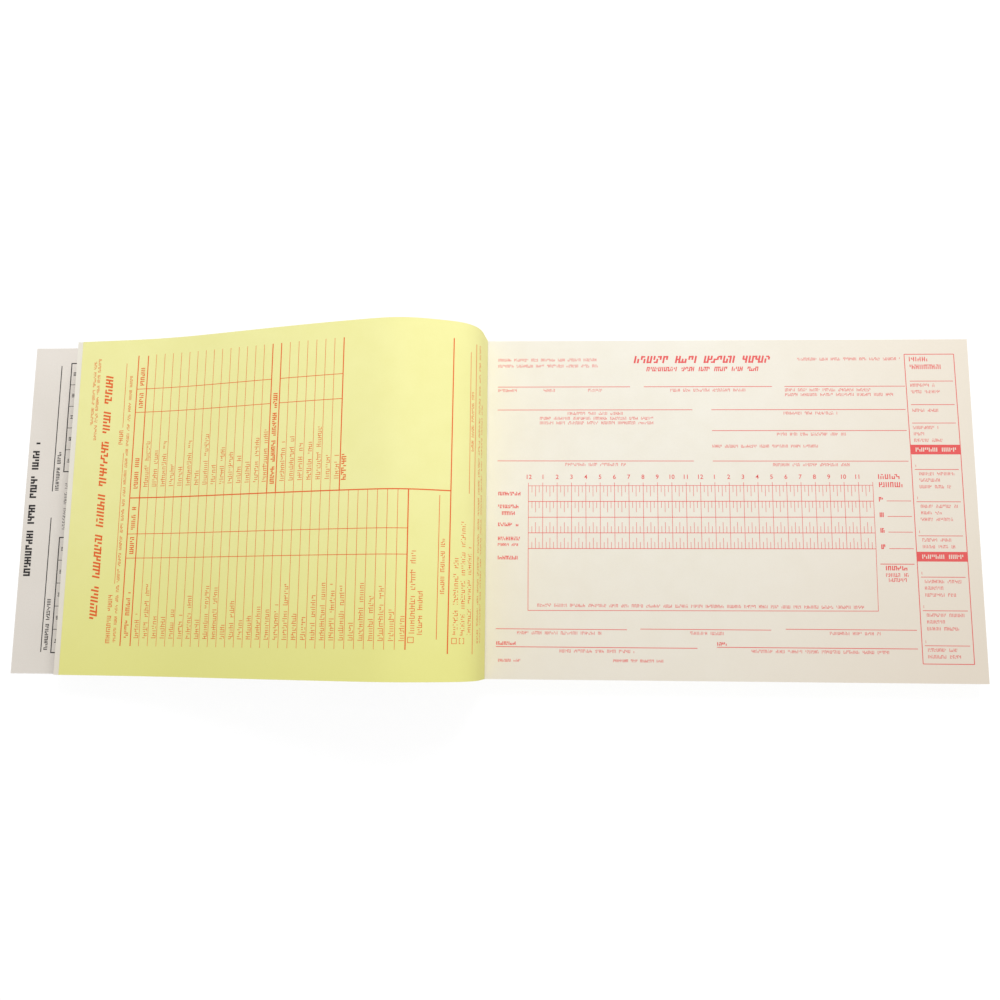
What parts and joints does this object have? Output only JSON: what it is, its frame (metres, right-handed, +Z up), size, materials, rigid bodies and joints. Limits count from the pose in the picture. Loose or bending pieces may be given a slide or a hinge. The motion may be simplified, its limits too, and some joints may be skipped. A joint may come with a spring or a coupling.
{
  "type": "log book",
  "caption": "Side-bound book of two-part ruled forms lying open, with its front cover and first set arched over to the left.",
  "frame": {"origin": "middle of the open book on the table it lies on", "axes": "+X from the spine to the free edge of the right-hand pages, +Y up the page, +Z up from the table"},
  "size_m": [0.3954, 0.1396, 0.0404],
  "materials": {
    "white_paper": "uncoated, printed in red",
    "yellow_paper": "uncoated, printed in orange-red",
    "cover_card": "smooth card, printed in black inside",
    "binding_cloth": "fine cloth tape",
    "staple_wire": "galvanised wire"
  },
  "bodies": {
    "bound_block": {"binding_tape": "binding_cloth", "upper_staple": "staple_wire", "lower_staple": "staple_wire", "front_cover_bound_strip": "cover_card", "back_cover_bound_strip": "cover_card", "turned_white_stub": "white_paper", "turned_yellow_stub": "yellow_paper", "open_page_white": "white_paper", "open_page_yellow": "yellow_paper", "set_03_white": "white_paper", "set_03_yellow": "yellow_paper", "set_04_white": "white_paper", "set_04_yellow": "yellow_paper", "set_05_white": "white_paper", "set_05_yellow": "yellow_paper", "set_06_white": "white_paper", "set_06_yellow": "yellow_paper", "set_07_white": "white_paper", "set_07_yellow": "yellow_paper", "set_08_white": "white_paper", "set_08_yellow": "yellow_paper", "set_09_white": "white_paper", "set_09_yellow": "yellow_paper", "set_10_white": "white_paper", "set_10_yellow": "yellow_paper", "set_11_white": "white_paper", "set_11_yellow": "yellow_paper", "set_12_white": "white_paper", "set_12_yellow": "yellow_paper", "set_13_white": "white_paper", "set_13_yellow": "yellow_paper", "set_14_white": "white_paper", "set_14_yellow": "yellow_paper", "set_15": "white_paper", "set_16": "white_paper", "set_17": "white_paper", "set_18": "white_paper", "set_19": "white_paper", "set_20": "white_paper", "set_21": "white_paper", "set_22": "white_paper", "set_23": "white_paper", "set_24": "white_paper", "set_25": "white_paper", "set_26": "white_paper", "set_27": "white_paper", "set_28": "white_paper", "set_29": "white_paper", "set_30": "white_paper", "set_31": "white_paper"},
    "cover_1": {"front_cover_1": "cover_card"},
    "cover_2": {"front_cover_2": "cover_card"},
    "cover_3": {"front_cover_3": "cover_card"},
    "leaf_1": {"turned_white_1": "white_paper", "turned_yellow_1": "yellow_paper"},
    "leaf_2": {"turned_white_2": "white_paper", "turned_yellow_2": "yellow_paper"},
    "leaf_3": {"turned_white_3": "white_paper", "turned_yellow_3": "yellow_paper"},
    "back_cover": {"back_cover": "cover_card"}
  },
  "joints": [
    {"name": "cover_turn", "type": "hinge", "parent": "bound_block", "child": "cover_1", "pos_m": [-0.00765, 0, 0.00885], "axis": [0, 1, 0], "range_deg": [0, 118]},
    {"name": "cover_bend_2", "type": "hinge", "parent": "cover_1", "child": "cover_2", "pos_m": [-0.01704, 0, 0.02651], "axis": [0, 1, 0], "range_deg": [0, 44]},
    {"name": "cover_bend_3", "type": "hinge", "parent": "cover_2", "child": "cover_3", "pos_m": [-0.03987, 0, 0.03393], "axis": [0, 1, 0], "range_deg": [0, 30.13]},
    {"name": "leaf_turn", "type": "hinge", "parent": "bound_block", "child": "leaf_1", "pos_m": [-0.00015, 0, 0.0083], "axis": [0, 1, 0], "range_deg": [0, 97]},
    {"name": "leaf_bend_2", "type": "hinge", "parent": "leaf_1", "child": "leaf_2", "pos_m": [-0.00247, 0, 0.02716], "axis": [0, 1, 0], "range_deg": [0, 57]},
    {"name": "leaf_bend_3", "type": "hinge", "parent": "leaf_2", "child": "leaf_3", "pos_m": [-0.02898, 0, 0.04009], "axis": [0, 1, 0], "range_deg": [0, 38.07]},
    {"name": "back_cover_turn", "type": "hinge", "parent": "bound_block", "child": "back_cover", "pos_m": [-0.00765, 0, 0.00025], "axis": [0, 1, 0], "range_deg": [0, 160]}
  ],
  "couplings": [
    {"joint": "cover_bend_2", "follows": "cover_turn", "ratio": 0.37288},
    {"joint": "cover_bend_3", "follows": "cover_turn", "ratio": 0.25537},
    {"joint": "leaf_turn", "follows": "cover_turn", "ratio": 0.82203},
    {"joint": "leaf_bend_2", "follows": "cover_turn", "ratio": 0.48305},
    {"joint": "leaf_bend_3", "follows": "cover_turn", "ratio": 0.32263}
  ]
}
